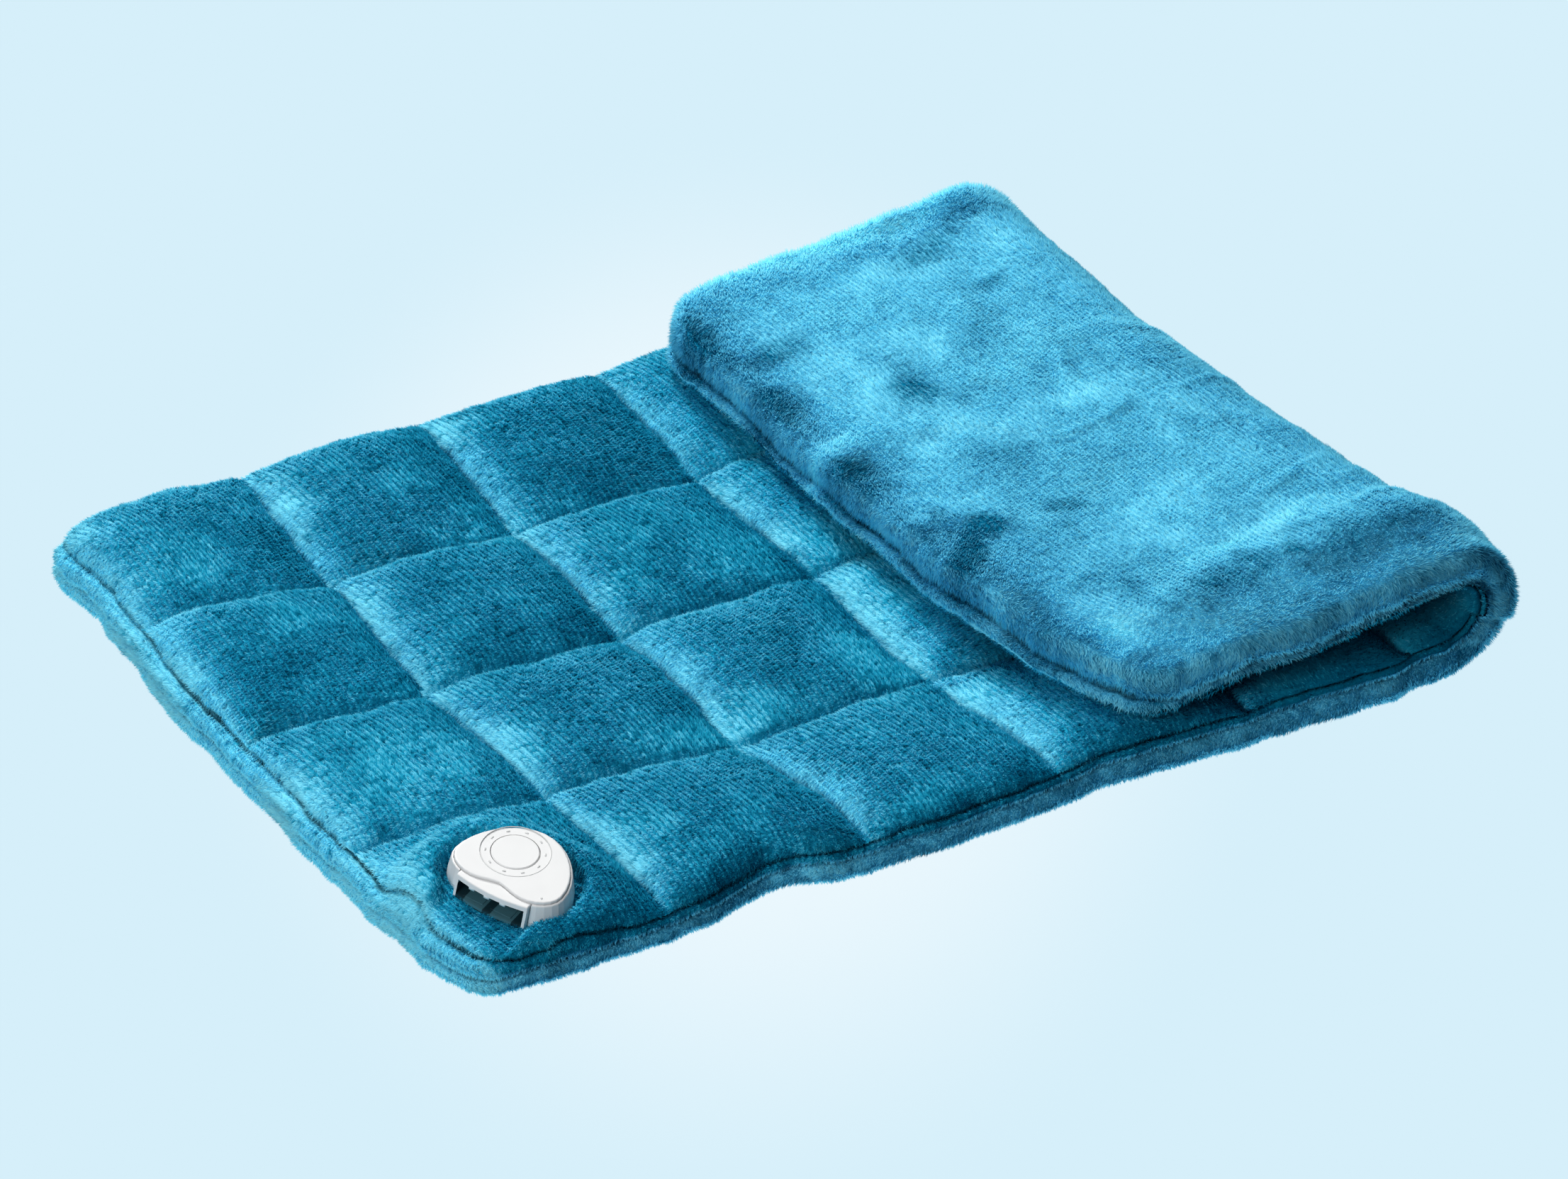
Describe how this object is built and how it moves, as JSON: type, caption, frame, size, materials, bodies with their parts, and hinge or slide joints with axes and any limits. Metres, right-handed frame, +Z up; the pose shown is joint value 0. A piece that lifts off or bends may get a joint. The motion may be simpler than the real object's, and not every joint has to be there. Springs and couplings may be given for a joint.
{
  "type": "heating pad with controller socket",
  "caption": "Quilted plush heating pad, folded over at one end, with a moulded socket housing for its controller in one corner.",
  "frame": {"origin": "middle of the flat underside of the part of the pad that lies on the table", "axes": "+X along the pad towards the fold, +Y across it, +Z up through the quilted face"},
  "size_m": [0.4098, 0.305, 0.0519],
  "materials": {
    "quilted_plush": "quilted micro plush",
    "smooth_plush": "brushed micro plush",
    "wadding": "fibre wadding",
    "carrier_cloth": "non-woven sheet",
    "wire_sleeve": "extruded",
    "white_plastic": "satin moulded",
    "dark_plastic": "moulded",
    "board_green": "solder mask",
    "contact_brass": "turned",
    "steel": "plated"
  },
  "bodies": {
    "pad_base": {"quilted_cover_base": "quilted_plush", "quilted_cover_fold": "quilted_plush", "filling_base": "wadding", "filling_fold": "wadding", "element_sheet_base": "carrier_cloth", "element_sheet_fold": "carrier_cloth", "back_cover_base": "smooth_plush", "back_cover_fold": "smooth_plush", "heating_wire_base_1": "wire_sleeve", "heating_wire_base_2": "wire_sleeve", "heating_wire_fold_1": "wire_sleeve", "heating_wire_fold_2": "wire_sleeve", "overheat_cutout_1": "dark_plastic", "overheat_cutout_2": "dark_plastic", "crimp_1": "steel", "crimp_2": "steel", "lead_wire_1": "dark_plastic", "lead_wire_2": "dark_plastic", "crown_plate": "white_plastic", "upper_shell": "white_plastic", "floor_plate": "white_plastic", "socket_frame": "white_plastic", "contact_pin_1": "contact_brass", "contact_pin_2": "contact_brass", "contact_pin_3": "contact_brass", "contact_pin_4": "contact_brass", "tact_switch": "dark_plastic", "circuit_board": "board_green", "thermal_fuse": "contact_brass", "terminal_block": "dark_plastic", "clamp_plate": "white_plastic", "clamp_screw_1": "steel", "clamp_screw_2": "steel", "clamp_screw_3": "steel", "clamp_screw_4": "steel", "cable_grommet": "dark_plastic"},
    "pad_flap": {"quilted_cover_flap": "quilted_plush", "filling_flap": "wadding", "element_sheet_flap": "carrier_cloth", "back_cover_flap": "smooth_plush", "heating_wire_flap": "wire_sleeve"},
    "button": {"button_cap": "white_plastic", "switch_plunger": "dark_plastic"}
  },
  "joints": [
    {"name": "flap_fold", "type": "hinge", "parent": "pad_base", "child": "pad_flap", "pos_m": [0.209, 0, 0.0262], "axis": [0, 1, 0], "range_deg": [0, 179], "deforming": ["quilted_cover_fold", "filling_fold", "element_sheet_fold", "back_cover_fold", "heating_wire_fold_1", "heating_wire_fold_2"]},
    {"name": "button_press", "type": "slide", "parent": "pad_base", "child": "button", "axis": [0.0436, 0.1906, -0.9807], "range_m": [0, 0.001], "stiffness_N_per_m": 300, "springref_m": -0.001}
  ]
}
